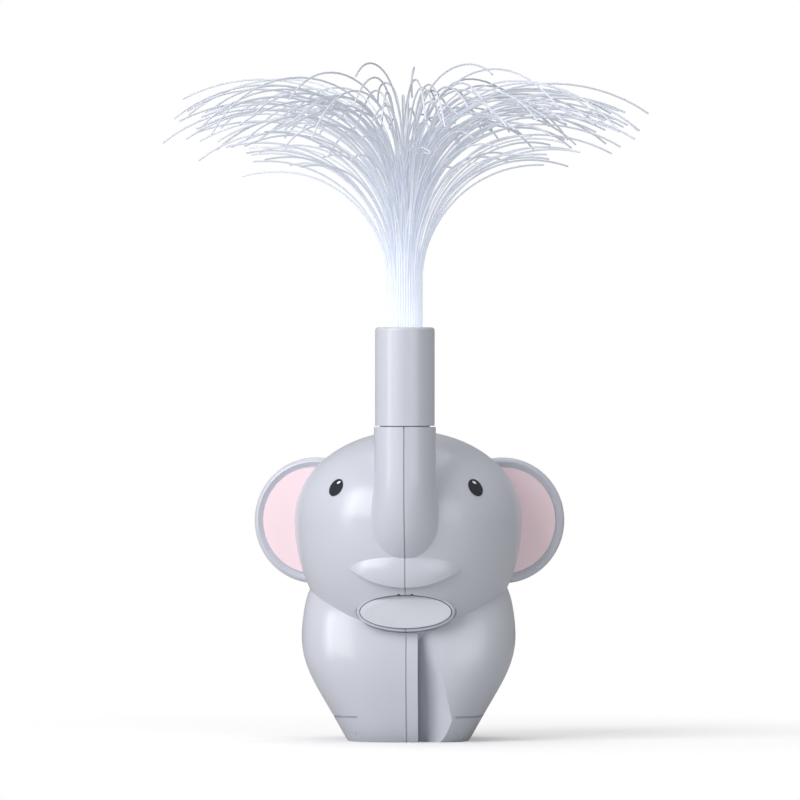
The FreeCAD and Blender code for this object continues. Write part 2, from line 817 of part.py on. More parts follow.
def ear(side, outer):
    """One ear, cut to the side of the head, with its tongue."""
    blank = ear_place(ear_blank(), side).cut(outer)
    tongue = ear_tab(side, 0.0).cut(ear_reach_limit())
    lining_seat = ear_place(
        cylinder(EAR_LINING_RADIUS + EAR_LINING_FIT, EAR_LINING_DEPTH, V(0, -EAR_THICKNESS / 2, 0), BACK), side
    )
    return single(single(blank).fuse(tongue).cut(lining_seat))


def ear_reach_limit():
    """The space inside the head that the tongues don't reach into."""
    return head_form(WALL + EAR_TAB_REACH)


def ear_lining(side, outer):
    """The pink inlay in the dish of an ear."""
    disc = cylinder(EAR_LINING_RADIUS, EAR_LINING_DEPTH, V(0, -EAR_THICKNESS / 2, 0), BACK)
    return single(ear_place(disc, side).cut(outer))


def eye_bar(side, margin, depth):
    """A tilted oval bar that goes back to a depth under the face's surface."""
    ellipse = Part.Ellipse(V(0, 0, 0), EYE_LONG + margin, EYE_SHORT + margin)
    face = Part.Face(Part.Wire([ellipse.toShape()]))
    face.rotate(V(0, 0, 0), RIGHT, 90)
    face.rotate(V(0, 0, 0), BACK, 90 - side * EYE_TILT)
    face.translate(V(side * EYE_X, -BIG / 2, EYE_Z))
    bar = face.extrude(V(0, BIG / 2, 0))
    return bar.cut(head_form(depth))


def eye(side):
    """A dark oval stud set in the face, a little proud of it."""
    return single(eye_bar(side, 0.0, EYE_DEPTH).common(head_form(-EYE_PROUD)))


def led_shelf():
    """A shelf across the foot of the spigot that carries the light board."""
    foot = V(0, TRUNK_Y, LED_BOARD_Z - WALL)
    return tube(spigot_inner() + SPIGOT_WALL / 2, LED_FLANGE_RADIUS + GAP, WALL, foot, UP)


def led_board():
    """The round board of the light source."""
    return cylinder(spigot_inner() - GAP, LED_BOARD_THICKNESS, V(0, TRUNK_Y, LED_BOARD_Z), UP)


def led_base_z():
    """Foot of the light source."""
    return LED_BOARD_Z + LED_BOARD_THICKNESS


def led():
    """A domed light-emitting diode."""
    foot = V(0, TRUNK_Y, led_base_z())
    flange = cylinder(LED_FLANGE_RADIUS, LED_FLANGE, foot, UP)
    barrel = cylinder(LED_RADIUS, LED_BODY, foot, UP)
    dome = Part.makeSphere(LED_RADIUS, foot + UP * LED_BODY)
    return fuse(flange, barrel, dome)


def light_cup():
    """A white tube round the diode that throws its light up into the fibres."""
    outer = spigot_inner() - GAP
    return tube(outer, outer - CUP_WALL, CUP_LENGTH, V(0, TRUNK_Y, led_base_z()), UP)


def bundle_radius():
    """Outer radius of the bundle of fibres."""
    return FIBRE_RINGS * FIBRE_PITCH + FIBRE_RADIUS


def collar():
    """The tube that continues the trunk, closed at the top round the fibres."""
    foot = TRUNK_TOP_Z + COLLAR_SHADOW_GAP
    outer = cylinder(COLLAR_RADIUS, COLLAR_TOP_Z - foot, V(0, TRUNK_Y, foot), UP)
    top_edges = [
        edge
        for edge in outer.Edges
        if abs(edge.BoundBox.ZMin - COLLAR_TOP_Z) < TINY and abs(edge.BoundBox.ZMax - COLLAR_TOP_Z) < TINY
    ]
    outer = outer.makeFillet(COLLAR_EDGE_RADIUS, top_edges)
    bore_top = COLLAR_TOP_Z - COLLAR_TOP_THICKNESS
    bore = cylinder(collar_inner(), bore_top - foot, V(0, TRUNK_Y, foot), UP)
    sleeve_inner = bundle_radius() + FERRULE_WALL
    sleeve = tube(
        sleeve_inner + SLEEVE_WALL,
        sleeve_inner,
        bore_top - FERRULE_FOOT_Z,
        V(0, TRUNK_Y, FERRULE_FOOT_Z),
        UP,
    )
    mouth = cylinder(bundle_radius() + SEAT_GAP, BIG, V(0, TRUNK_Y, bore_top - CUT_OVER), UP)
    return fuse(outer.cut(bore), sleeve).cut(mouth)


def fibre_ferrule():
    """The metal tube crimped round the foot of the bundle."""
    inner = bundle_radius()
    return tube(inner + FERRULE_WALL, inner, FERRULE_LENGTH, V(0, TRUNK_Y, FERRULE_FOOT_Z), UP)


def golden(index, step):
    """An even but unordered spread of values between 0 and 1."""
    return (index * step + 0.5 * step) % 1.0


def fibre_line(index, ring, place):
    """The middle line of one strand: straight up, over an outward arc, then drooping to its tip."""
    share = ring / FIBRE_RINGS
    root_angle = 2 * math.pi * place / max(1, 6 * ring) + RING_TWIST * ring
    root = V(
        ring * FIBRE_PITCH * math.cos(root_angle),
        TRUNK_Y + ring * FIBRE_PITCH * math.sin(root_angle),
        FERRULE_FOOT_Z,
    )
    wander = (golden(index, HEADING_STEP) - 0.5) * (WANDER_INNER - WANDER_FALL * share)
    heading = root_angle + wander
    out = V(math.cos(heading), math.sin(heading), 0)
    lift = (1 - share) ** LIFT_POWER
    start = BEND_START_OUTER_Z + (BEND_START_INNER_Z - BEND_START_OUTER_Z) * lift
    start += BEND_START_SPREAD * (golden(index, START_STEP) - 0.5)
    radius = BEND_RADIUS + BEND_RADIUS_SPREAD * (golden(index, RADIUS_STEP) - 0.5)
    turn = math.radians(90 - UPRIGHT_LEAN * (1 - share) * golden(index, TURN_STEP))
    tip_radius = TIP_RADIUS + TIP_RADIUS_SPREAD * (golden(index, DROOP_STEP) - 0.5)
    length = TIP_LENGTH_OUTER + (TIP_LENGTH_INNER - TIP_LENGTH_OUTER) * lift
    length += TIP_LENGTH_SPREAD * (golden(index, LENGTH_STEP) - 0.5)

    first = V(root.x, root.y, start)
    middle = arc_point(first, out, radius, 0.0, turn / 2)
    second = arc_point(first, out, radius, 0.0, turn)
    droop = length / tip_radius
    third_middle = arc_point(second, out, tip_radius, turn, droop / 2)
    third = arc_point(second, out, tip_radius, turn, droop)
    return Part.Wire(
        [
            Part.LineSegment(root, first).toShape(),
            Part.Arc(first, middle, second).toShape(),
            Part.Arc(second, third_middle, third).toShape(),
        ]
    )


def arc_point(start, out, radius, angle, turn):
    """The point reached from a start on an arc that leans from an angle off upright through a turn."""
    reach = radius * (math.cos(angle) - math.cos(angle + turn))
    rise = radius * (math.sin(angle + turn) - math.sin(angle))
    return start + out * reach + UP * rise


def strand_section(line):
    """The strand's section at its root: a circle drawn with a few flats."""
    start = line.OrderedVertexes[0].Point
    corners = []
    for corner in range(FIBRE_SIDES + 1):
        angle = 2 * math.pi * corner / FIBRE_SIDES
        corners.append(start + V(FIBRE_RADIUS * math.cos(angle), FIBRE_RADIUS * math.sin(angle), 0))
    return Part.makePolygon(corners)


def fibres():
    """The whole spray: rings of strands, six more in each ring."""
    strands = []
    index = 0
    for ring in range(FIBRE_RINGS + 1):
        for place in range(max(1, 6 * ring)):
            line = fibre_line(index, ring, place)
            strands.append(line.makePipeShell([strand_section(line)], True, False))
            index += 1
    return Part.Compound(strands)


def bay_inner_half_width():
    """Half the width inside the battery box."""
    return CELL_COUNT * CELL_PITCH / 2 + BOX_CLEAR


def bay_floor_z():
    """Inside floor of the battery box."""
    return WALL + BOX_WALL


def bay_height():
    """Inside height of the battery box."""
    return CONTACT_THICKNESS + SPRING_RISE + CELL_LENGTH + CELL_NUB + CONTACT_THICKNESS + CELL_END_PLAY


def bay_back_y():
    """Front wall of the battery box, on the side away from the door."""
    return CELL_Y - CELL_RADIUS - BOX_CLEAR


def battery_box():
    """The open box that holds the cells, standing on the floor of the halves."""
    half = bay_inner_half_width()
    low = bay_floor_z()
    high = low + bay_height()
    outer = box(-half - BOX_WALL, half + BOX_WALL, bay_back_y() - BOX_WALL, BOX_OPEN_Y, WALL, high + BOX_WALL)
    room = box(-half, half, bay_back_y(), BOX_OPEN_Y + CUT_OVER, low, high)
    boss_front = BOX_OPEN_Y - DOOR_BOSS_ROOT
    boss_back = door_screw_seat_y() - DOOR_SCREW_SHANK
    boss = cylinder(DOOR_BOSS_RADIUS, boss_back - boss_front, V(0, boss_front, DOOR_SCREW_Z), BACK)
    boss = boss.cut(box(-BIG, BIG, -BIG, BIG, -BIG, high))
    pilot_front = V(0, boss_back - DOOR_PILOT_DEPTH, DOOR_SCREW_Z)
    pilot = cylinder(DOOR_SCREW_RADIUS + GAP / 2, DOOR_PILOT_DEPTH + CUT_OVER, pilot_front, BACK)
    return fuse(outer.cut(room), boss).cut(pilot)


def door_screw_seat_y():
    """Where the head of the door's screw sits."""
    return rear_depth(DOOR_SCREW_Z) - DOOR_SCREW_HEAD - DOOR_SCREW_SINK


def rear_depth(z):
    """Depth of the body's back at a height, between its stations."""
    for low, high in zip(BODY_STATIONS, BODY_STATIONS[1:]):
        if low[0] <= z <= high[0]:
            share = (z - low[0]) / (high[0] - low[0])
            return low[3] + share * (high[3] - low[3])
    return BODY_STATIONS[0][3]


def cell_places():
    """Centres of the cells across the bay."""
    first = -(CELL_COUNT - 1) * CELL_PITCH / 2
    return [first + index * CELL_PITCH for index in range(CELL_COUNT)]


def batteries():
    """Three cells, the middle one the other way up."""
    cells = []
    for index, x in enumerate(cell_places()):
        foot = bay_floor_z() + CONTACT_THICKNESS + SPRING_RISE
        if index % 2:
            foot = bay_floor_z() + CONTACT_THICKNESS + CELL_NUB
        body = cylinder(CELL_RADIUS, CELL_LENGTH, V(x, CELL_Y, foot), UP)
        nub_foot = foot - CELL_NUB if index % 2 else foot + CELL_LENGTH
        nub = cylinder(CELL_NUB_RADIUS, CELL_NUB, V(x, CELL_Y, nub_foot), UP)
        cells.append(fuse(body, nub))
    return Part.Compound(cells)


def contact_plates():
    """Flat plates at both ends of the cells."""
    low = bay_floor_z()
    high = low + bay_height() - CONTACT_THICKNESS
    plates = []
    half = CELL_PITCH / 2 - CONTACT_MARGIN
    for x in cell_places():
        for z in (low, high):
            plates.append(box(x - half, x + half, CELL_Y - half, CELL_Y + half, z, z + CONTACT_THICKNESS))
    return Part.Compound(plates)


def spring_point(foot, rise, share):
    """A point on the spring's middle line, at a share of its way up."""
    angle = 2 * math.pi * SPRING_TURNS * share
    return foot + V(SPRING_RADIUS * math.cos(angle), SPRING_RADIUS * math.sin(angle), rise * share)


def spring_coil(foot, rise):
    """One spring: quarter turns joined end to end, with a section drawn with a few flats."""
    quarters = 4 * SPRING_TURNS
    arcs = []
    for quarter in range(quarters):
        points = [spring_point(foot, rise, (quarter + part / 2) / quarters) for part in range(3)]
        arcs.append(Part.Arc(*points).toShape())
    corners = []
    for corner in range(SPRING_SIDES + 1):
        angle = 2 * math.pi * corner / SPRING_SIDES
        across = SPRING_WIRE * math.cos(angle)
        corners.append(spring_point(foot, rise, 0) + V(across, 0, SPRING_WIRE * math.sin(angle)))
    return Part.Wire(arcs).makePipeShell([Part.makePolygon(corners)], True, False)


def contact_springs():
    """The springs that press each cell against its plate."""
    springs = []
    for index, x in enumerate(cell_places()):
        foot = bay_floor_z() + CONTACT_THICKNESS + SPRING_WIRE
        if index % 2:
            foot = bay_floor_z() + CONTACT_THICKNESS + CELL_NUB + CELL_LENGTH + SPRING_WIRE
        rise = SPRING_RISE - 2 * SPRING_WIRE
        if index % 2:
            rise = bay_height() - CONTACT_THICKNESS * 2 - CELL_NUB - CELL_LENGTH - 2 * SPRING_WIRE
        springs.append(spring_coil(V(x, CELL_Y, foot), rise))
    return Part.Compound(springs)


def battery_door(outer):
    """The curved door: panel, two tongues below, two ribs inside."""
    panel = outer.common(door_window(0.0, DOOR_FRONT_Y, BIG / 2)).cut(body_form(WALL))
    panel = single(panel)
    tongues = []
    top = DOOR_LOW_Z + DOOR_TONGUE_ROOT
    back = rear_depth(DOOR_LOW_Z) - WALL - GAP
    for side in (-1, 1):
        x0 = side * DOOR_TONGUE_X - DOOR_TONGUE_WIDTH / 2
        x1 = x0 + DOOR_TONGUE_WIDTH
        low = DOOR_LOW_Z - DOOR_TONGUE_DROP
        blade_back = rear_depth(low) - WALL - GAP * 2
        tongues.append(box(x0, x1, blade_back - DOOR_TONGUE_THICKNESS, blade_back, low, top))
        blade_front = blade_back - DOOR_TONGUE_THICKNESS
        bridge = box(x0, x1, blade_front, back + DOOR_BRIDGE_BACK, DOOR_LOW_Z + DOOR_BRIDGE_RISE, top)
        tongues.append(bridge.common(outer_form(SEAM_DEPTH)))
    ribs = []
    for side in (-1, 1):
        x = side * CELL_PITCH / 2
        half = DOOR_RIB_WIDTH / 2
        foot = DOOR_LOW_Z + DOOR_RIB_FOOT
        rib = box(x - half, x + half, BOX_OPEN_Y, BIG / 2, foot, DOOR_HIGH_Z - DOOR_RIB_HEAD)
        ribs.append(rib.common(body_form(WALL / 2)))
    hole = cylinder(DOOR_SCREW_RADIUS + GAP / 2, BIG, V(0, 0, DOOR_SCREW_Z), BACK)
    sink = cylinder(DOOR_SCREW_HEAD_RADIUS + GAP / 2, BIG, V(0, door_screw_seat_y(), DOOR_SCREW_Z), BACK)
    return single(panel.fuse(tongues + ribs).cut([hole, sink]))


def door_screw():
    """The captive screw of the door, with a short pointed end."""
    seat = V(0, door_screw_seat_y(), DOOR_SCREW_Z)
    forward = V(0, -1, 0)
    body = pan_screw(
        DOOR_SCREW_RADIUS,
        DOOR_SCREW_SHANK,
        DOOR_SCREW_HEAD_RADIUS,
        DOOR_SCREW_HEAD,
        seat,
        forward,
    )
    point = seat + forward * DOOR_SCREW_SHANK
    tip = Part.makeCone(DOOR_SCREW_RADIUS, DOOR_SCREW_TIP_RADIUS, DOOR_SCREW_TIP, point, forward)
    return fuse(body, tip)


def wire_path(points):
    """A path of straight runs joined by tangent arcs."""
    edges = []
    here = points[0]
    for before, corner, after in zip(points, points[1:], points[2:]):
        into = (corner - before).normalize()
        away = (after - corner).normalize()
        turn = into.getAngle(away)
        reach = WIRE_BEND_SHARE * min((corner - before).Length, (after - corner).Length)
        radius = reach / math.tan(turn / 2)
        start = corner - into * reach
        end = corner + away * reach
        normal = (away - into).normalize()
        middle = corner + normal * (radius / math.cos(turn / 2) - radius)
        edges.append(Part.LineSegment(here, start).toShape())
        edges.append(Part.Arc(start, middle, end).toShape())
        here = end
    edges.append(Part.LineSegment(here, points[-1]).toShape())
    return Part.Wire(edges)


def wire_solid(points):
    """An insulated wire along a path."""
    path = wire_path(points)
    along = (points[1] - points[0]).normalize()
    section = Part.Wire([Part.Circle(points[0], along, WIRE_RADIUS).toShape()])
    return path.makePipeShell([section], True, False)


def led_wires():
    """Two wires from the board up through the trunk to the light board."""
    wires = []
    for side in (-1, 1):
        x = side * WIRE_PITCH
        wires.append(
            wire_solid(
                [
                    V(x, BOARD_Y + BOARD_THICKNESS, BUTTON_Z + 8),
                    V(x, BOARD_Y + 8, BUTTON_Z + 9),
                    V(x, BOARD_Y + 4, BUTTON_Z + 25),
                    V(x, TRUNK_Y + 16, TRUNK_BEND_Z - 14),
                    V(x, TRUNK_Y + 1, TRUNK_BEND_Z + 2),
                    V(x, TRUNK_Y, LED_BOARD_Z - 8),
                    V(x, TRUNK_Y, LED_BOARD_Z),
                ]
            )
        )
    return Part.Compound(wires)


def battery_wires():
    """Two wires from the battery box to the board."""
    wires = []
    top = bay_floor_z() + bay_height() + BOX_WALL
    for side in (-1, 1):
        x = side * 9.0
        wires.append(
            wire_solid(
                [
                    V(x, CELL_Y - 3, top),
                    V(x, CELL_Y - 4, top + 6),
                    V(x, CELL_Y - 14, top + 9),
                    V(x, BOARD_Y + 16, top + 2),
                    V(x, BOARD_Y + 8, BUTTON_Z - 1),
                    V(x, BOARD_Y + BOARD_THICKNESS, BUTTON_Z - 2),
                ]
            )
        )
    return Part.Compound(wires)


outer = outer_form()
hollow = outer.cut(outer_form(WALL))

nodes = {
    "left_shell": half_shell(-1, outer, hollow),
    "right_shell": half_shell(1, outer, hollow),
    "left_ear": ear(-1, outer),
    "right_ear": ear(1, outer),
    "left_ear_lining": ear_lining(-1, outer),
    "right_ear_lining": ear_lining(1, outer),
    "left_eye": eye(-1),
    "right_eye": eye(1),
    "mode_button": mode_button(),
    "push_switch": push_switch(),
    "main_board": main_board(),
    "control_chip": control_chip(),
    "board_screws": board_screws(),
    "shell_screws": shell_screws(),
    "led_board": led_board(),
    "led": led(),
    "light_cup": light_cup(),
    "led_wires": led_wires(),
    "battery_wires": battery_wires(),
    "battery_box": battery_box(),
    "batteries": batteries(),
    "contact_plates": contact_plates(),
    "contact_springs": contact_springs(),
    "battery_door": battery_door(outer),
    "door_screw": door_screw(),
    "collar": collar(),
    "fibre_ferrule": fibre_ferrule(),
    "fibres": fibres(),
}

for name, shape in nodes.items():
    shape.exportStep(f"parts/{name}.step")
    print(name, len(shape.Solids), round(shape.Volume, 1), shape.isValid())
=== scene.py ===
"""Looks for the elephant lamp with its spray of light-guide fibres.

Lengths are in metres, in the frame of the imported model: +Z up, the face towards -Y.
Angles are in degrees, apart from those whose name ends in _rad.
"""

from __future__ import annotations

import logging
import math
from dataclasses import dataclass, field
from enum import Enum

import bpy
import numpy as np
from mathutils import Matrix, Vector

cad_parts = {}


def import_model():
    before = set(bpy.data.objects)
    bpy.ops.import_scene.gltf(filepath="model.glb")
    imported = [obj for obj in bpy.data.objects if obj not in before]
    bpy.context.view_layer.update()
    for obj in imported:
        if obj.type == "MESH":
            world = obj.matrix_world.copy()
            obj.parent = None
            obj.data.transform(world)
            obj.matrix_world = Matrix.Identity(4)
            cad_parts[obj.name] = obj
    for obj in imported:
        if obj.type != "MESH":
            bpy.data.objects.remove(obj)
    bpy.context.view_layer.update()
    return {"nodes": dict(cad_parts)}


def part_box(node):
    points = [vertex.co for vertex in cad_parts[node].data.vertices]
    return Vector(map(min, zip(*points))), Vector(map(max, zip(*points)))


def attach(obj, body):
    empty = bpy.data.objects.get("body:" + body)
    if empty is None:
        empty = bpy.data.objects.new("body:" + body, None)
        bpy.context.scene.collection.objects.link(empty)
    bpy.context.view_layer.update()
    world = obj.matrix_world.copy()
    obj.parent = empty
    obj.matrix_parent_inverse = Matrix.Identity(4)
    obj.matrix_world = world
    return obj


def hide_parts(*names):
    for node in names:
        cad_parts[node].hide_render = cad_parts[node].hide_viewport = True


LOG = logging.getLogger("elephant_lamp")
MM = 0.001
WHITE = (1.0, 1.0, 1.0, 1.0)
Colour = tuple[float, float, float]
Point = tuple[float, float, float]

COAT_ROUGHNESS = 0.12
NOISE_SCALE = 38.0
NOISE_DETAIL = 4.0
NOISE_ROUGHNESS = 0.55
BRUSH_STRETCH = 30.0
RAMP_LOW = 0.30
RAMP_HIGH = 0.62
BAND_HALF = 0.1 * MM
GLOSS_LOW = 0.85
GLOSS_HIGH = 1.18
LEAST_ROUGHNESS = 0.02
GRAIN_DETAIL = 2.0
BUMP_DEPTH = 0.2 * MM

STRANDS_PER_RING = 6
RADIUS_INPUT = "Strand radius"
SIDES_INPUT = "Strand sides"


def add_to_scene(item: bpy.types.Object) -> bpy.types.Object:
    """Puts an object in the scene.

    Args:
        item: The new object.

    Returns:
        The same object.
    """
    bpy.context.scene.collection.objects.link(item)
    return item


def new_material(name: str) -> tuple[bpy.types.Material, bpy.types.Node]:
    """Makes a material with a plain surface shader.

    Args:
        name: Its name.

    Returns:
        The material and its surface shader.
    """
    material = bpy.data.materials.new(name)
    material.use_nodes = True
    return material, material.node_tree.nodes["Principled BSDF"]


def new_node(
    tree: bpy.types.NodeTree, kind: str, values: dict[str, float | tuple] | None = None
) -> bpy.types.Node:
    """Adds a node with some of its inputs set.

    Args:
        tree: The tree that gets the node.
        kind: The node's type.
        values: Input values by name.

    Returns:
        The new node.
    """
    node = tree.nodes.new(kind)
    for name, value in (values or {}).items():
        node.inputs[name].default_value = value
    return node


class Pattern(Enum):
    """How a finish varies over a surface."""

    MOULDED = "moulded"
    BRUSHED = "brushed"
    BOARD = "board"
    JACKET = "jacket"


@dataclass(frozen=True)
class Finish:
    """One procedural finish: colours, gloss and the texture that breaks them up.

    A jacket changes from the second colour to the first at the height band_z.
    """

    name: str
    colour: Colour
    second: Colour
    roughness: float
    pattern: Pattern = Pattern.MOULDED
    metallic: float = 0.0
    coat: float = 0.0
    grain: float = 900.0
    bump: float = 0.02
    band_z: float = 38.0 * MM

    def build(self) -> bpy.types.Material:
        """Builds the material.

        Returns:
            The new material.
        """
        material, shader = new_material(self.name)
        tree = material.node_tree
        shader.inputs["Metallic"].default_value = self.metallic
        shader.inputs["Coat Weight"].default_value = self.coat
        shader.inputs["Coat Roughness"].default_value = COAT_ROUGHNESS
        coordinates = new_node(tree, "ShaderNodeTexCoord")
        noise = self._noise(tree, coordinates)
        self._colour(tree, noise, coordinates, shader)
        self._roughness(tree, noise, shader)
        self._bump(tree, coordinates, shader)
        return material

    def _noise(self, tree: bpy.types.NodeTree, coordinates: bpy.types.Node) -> bpy.types.Node:
        """Slow unevenness of the surface, drawn out along Z where it is brushed.

        Args:
            tree: The material's tree.
            coordinates: The coordinate node.

        Returns:
            The noise node.
        """
        noise = new_node(
            tree,
            "ShaderNodeTexNoise",
            {"Scale": NOISE_SCALE, "Detail": NOISE_DETAIL, "Roughness": NOISE_ROUGHNESS},
        )
        along = BRUSH_STRETCH if self.pattern is Pattern.BRUSHED else 1.0
        mapping = new_node(tree, "ShaderNodeMapping", {"Scale": (1.0, 1.0, along)})
        tree.links.new(coordinates.outputs["Object"], mapping.inputs["Vector"])
        tree.links.new(mapping.outputs["Vector"], noise.inputs["Vector"])
        return noise

    def _colour(
        self,
        tree: bpy.types.NodeTree,
        noise: bpy.types.Node,
        coordinates: bpy.types.Node,
        shader: bpy.types.Node,
    ) -> None:
        """Colour between the two tones of the finish.

        Args:
            tree: The material's tree.
            noise: The slow noise.
            coordinates: The coordinate node.
            shader: The surface shader.
        """
        ramp = new_node(tree, "ShaderNodeValToRGB")
        low, high = ramp.color_ramp.elements
        low.color = (*self.second, 1.0)
        high.color = (*self.colour, 1.0)
        low.position, high.position = RAMP_LOW, RAMP_HIGH
        source = noise.outputs["Fac"]
        if self.pattern is Pattern.BOARD:
            cells = new_node(tree, "ShaderNodeTexVoronoi", {"Scale": self.grain})
            tree.links.new(coordinates.outputs["Object"], cells.inputs["Vector"])
            source = cells.outputs["Distance"]
        if self.pattern is Pattern.JACKET:
            height = new_node(tree, "ShaderNodeSeparateXYZ")
            limits = {"From Min": self.band_z - BAND_HALF, "From Max": self.band_z + BAND_HALF}
            band = new_node(tree, "ShaderNodeMapRange", limits)
            tree.links.new(coordinates.outputs["Object"], height.inputs["Vector"])
            tree.links.new(height.outputs["Z"], band.inputs["Value"])
            source = band.outputs["Result"]
        tree.links.new(source, ramp.inputs["Fac"])
        tree.links.new(ramp.outputs["Color"], shader.inputs["Base Color"])

    def _roughness(
        self, tree: bpy.types.NodeTree, noise: bpy.types.Node, shader: bpy.types.Node
    ) -> None:
        """Gloss that varies a little, as on handled plastic.

        Args:
            tree: The material's tree.
            noise: The slow noise.
            shader: The surface shader.
        """
        limits = {
            "To Min": max(LEAST_ROUGHNESS, self.roughness * GLOSS_LOW),
            "To Max": min(1.0, self.roughness * GLOSS_HIGH),
        }
        spread = new_node(tree, "ShaderNodeMapRange", limits)
        tree.links.new(noise.outputs["Fac"], spread.inputs["Value"])
        tree.links.new(spread.outputs["Result"], shader.inputs["Roughness"])

    def _bump(
        self, tree: bpy.types.NodeTree, coordinates: bpy.types.Node, shader: bpy.types.Node
    ) -> None:
        """Fine texture of the mould.

        Args:
            tree: The material's tree.
            coordinates: The coordinate node.
            shader: The surface shader.
        """
        fine = new_node(tree, "ShaderNodeTexNoise", {"Scale": self.grain, "Detail": GRAIN_DETAIL})
        bump = new_node(tree, "ShaderNodeBump", {"Strength": self.bump, "Distance": BUMP_DEPTH})
        tree.links.new(coordinates.outputs["Object"], fine.inputs["Vector"])
        tree.links.new(fine.outputs["Fac"], bump.inputs["Height"])
        tree.links.new(bump.outputs["Normal"], shader.inputs["Normal"])


@dataclass(frozen=True)
class FibreFinish:
    """Clear light-guide strand that passes light, with a painted glow: emission that brightens the
    strands near their root and fades out with height, though no lamp lights them.
    """

    name: str = "clear_fibre_with_painted_glow"
    colour: Colour = (0.82, 0.85, 0.92)
    shade: Colour = (0.86, 0.88, 0.92)
    roughness: float = 0.16
    roughness_low: float = 0.6
    roughness_high: float = 1.6
    transmission: float = 0.30
    refraction: float = 1.49
    noise_scale: float = 220.0
    # Painted glow: the strength, tint and height range of an emission that brightens the unlit
    # strands near the root.
    painted_glow: float = 0.23
    painted_glow_tint: Colour = (0.93, 0.96, 1.0)
    painted_glow_low_z: float = 168.0 * MM
    painted_glow_high_z: float = 268.0 * MM

    def build(self) -> bpy.types.Material:
        """Builds the material.

        Returns:
            The new material.
        """
        material, shader = new_material(self.name)
        tree = material.node_tree
        shader.inputs["Transmission Weight"].default_value = self.transmission
        shader.inputs["IOR"].default_value = self.refraction
        # Tint of the painted glow.
        shader.inputs["Emission Color"].default_value = (*self.painted_glow_tint, 1.0)
        coordinates = new_node(tree, "ShaderNodeTexCoord")
        split = new_node(tree, "ShaderNodeSeparateXYZ")
        # Painted glow: emission strength falls from its full level at the low height to nothing at
        # the high one.
        limits = {
            "From Min": self.painted_glow_low_z,
            "From Max": self.painted_glow_high_z,
            "To Min": self.painted_glow,
            "To Max": 0.0,
        }
        fade = new_node(tree, "ShaderNodeMapRange", limits)
        noise = new_node(tree, "ShaderNodeTexNoise", {"Scale": self.noise_scale})
        ramp = new_node(tree, "ShaderNodeValToRGB")
        low, high = ramp.color_ramp.elements
        low.color = (*(tone * part for tone, part in zip(self.colour, self.shade)), 1.0)
        high.color = (*self.colour, 1.0)
        limits = {
            "To Min": self.roughness * self.roughness_low,
            "To Max": self.roughness * self.roughness_high,
        }
        rough = new_node(tree, "ShaderNodeMapRange", limits)
        links = tree.links
        links.new(coordinates.outputs["Object"], split.inputs["Vector"])
        links.new(split.outputs["Z"], fade.inputs["Value"])
        links.new(fade.outputs["Result"], shader.inputs["Emission Strength"])
        links.new(coordinates.outputs["Object"], noise.inputs["Vector"])
        links.new(noise.outputs["Fac"], ramp.inputs["Fac"])
        links.new(ramp.outputs["Color"], shader.inputs["Base Color"])
        links.new(noise.outputs["Fac"], rough.inputs["Value"])
        links.new(rough.outputs["Result"], shader.inputs["Roughness"])
        return material


GREY_SHELL = Finish("satin_grey_shell", (0.60, 0.62, 0.69), (0.59, 0.61, 0.68), 0.30, coat=0.25)
PALE_BUTTON = Finish("pale_grey_button", (0.68, 0.70, 0.77), (0.67, 0.69, 0.76), 0.26, coat=0.3)
PINK_LINING = Finish("pink_ear_lining", (0.93, 0.73, 0.79), (0.915, 0.715, 0.775), 0.48)
EYE_BLACK = Finish("dark_eye", (0.022, 0.024, 0.036), (0.018, 0.019, 0.030), 0.22, coat=0.2)
EYE_GLINT = Finish("white_glint", (0.86, 0.87, 0.90), (0.84, 0.85, 0.88), 0.4)
SWITCH_BLACK = Finish("black_component", (0.035, 0.035, 0.04), (0.02, 0.02, 0.024), 0.5)
BOARD_GREEN = Finish(
    "green_board", (0.02, 0.16, 0.06), (0.03, 0.24, 0.10), 0.35, Pattern.BOARD, grain=420.0
)
SCREW_STEEL = Finish(
    "zinc_screw", (0.60, 0.61, 0.63), (0.48, 0.49, 0.51), 0.30, Pattern.BRUSHED, metallic=1.0
)
LED_CLEAR = Finish("clear_dome", (0.90, 0.93, 0.97), (0.86, 0.90, 0.95), 0.08)
WHITE_CUP = Finish("white_cup", (0.86, 0.86, 0.86), (0.82, 0.82, 0.82), 0.4)
WIRE_RED = Finish("red_wire", (0.50, 0.02, 0.02), (0.42, 0.02, 0.02), 0.38)
WIRE_BLACK = Finish("black_wire", (0.03, 0.03, 0.03), (0.02, 0.02, 0.02), 0.38)
INNER_GREY = Finish("inner_box", (0.30, 0.31, 0.34), (0.27, 0.28, 0.31), 0.5)
CELL_JACKET = Finish(
    "cell_jacket", (0.50, 0.33, 0.12), (0.06, 0.10, 0.24), 0.25, Pattern.JACKET, metallic=0.6
)
CONTACT_METAL = Finish(
    "nickel_contact", (0.72, 0.71, 0.68), (0.62, 0.61, 0.58), 0.25, Pattern.BRUSHED, metallic=1.0
)
FERRULE_METAL = Finish(
    "ferrule_metal", (0.74, 0.74, 0.76), (0.66, 0.66, 0.68), 0.28, Pattern.BRUSHED, metallic=1.0
)


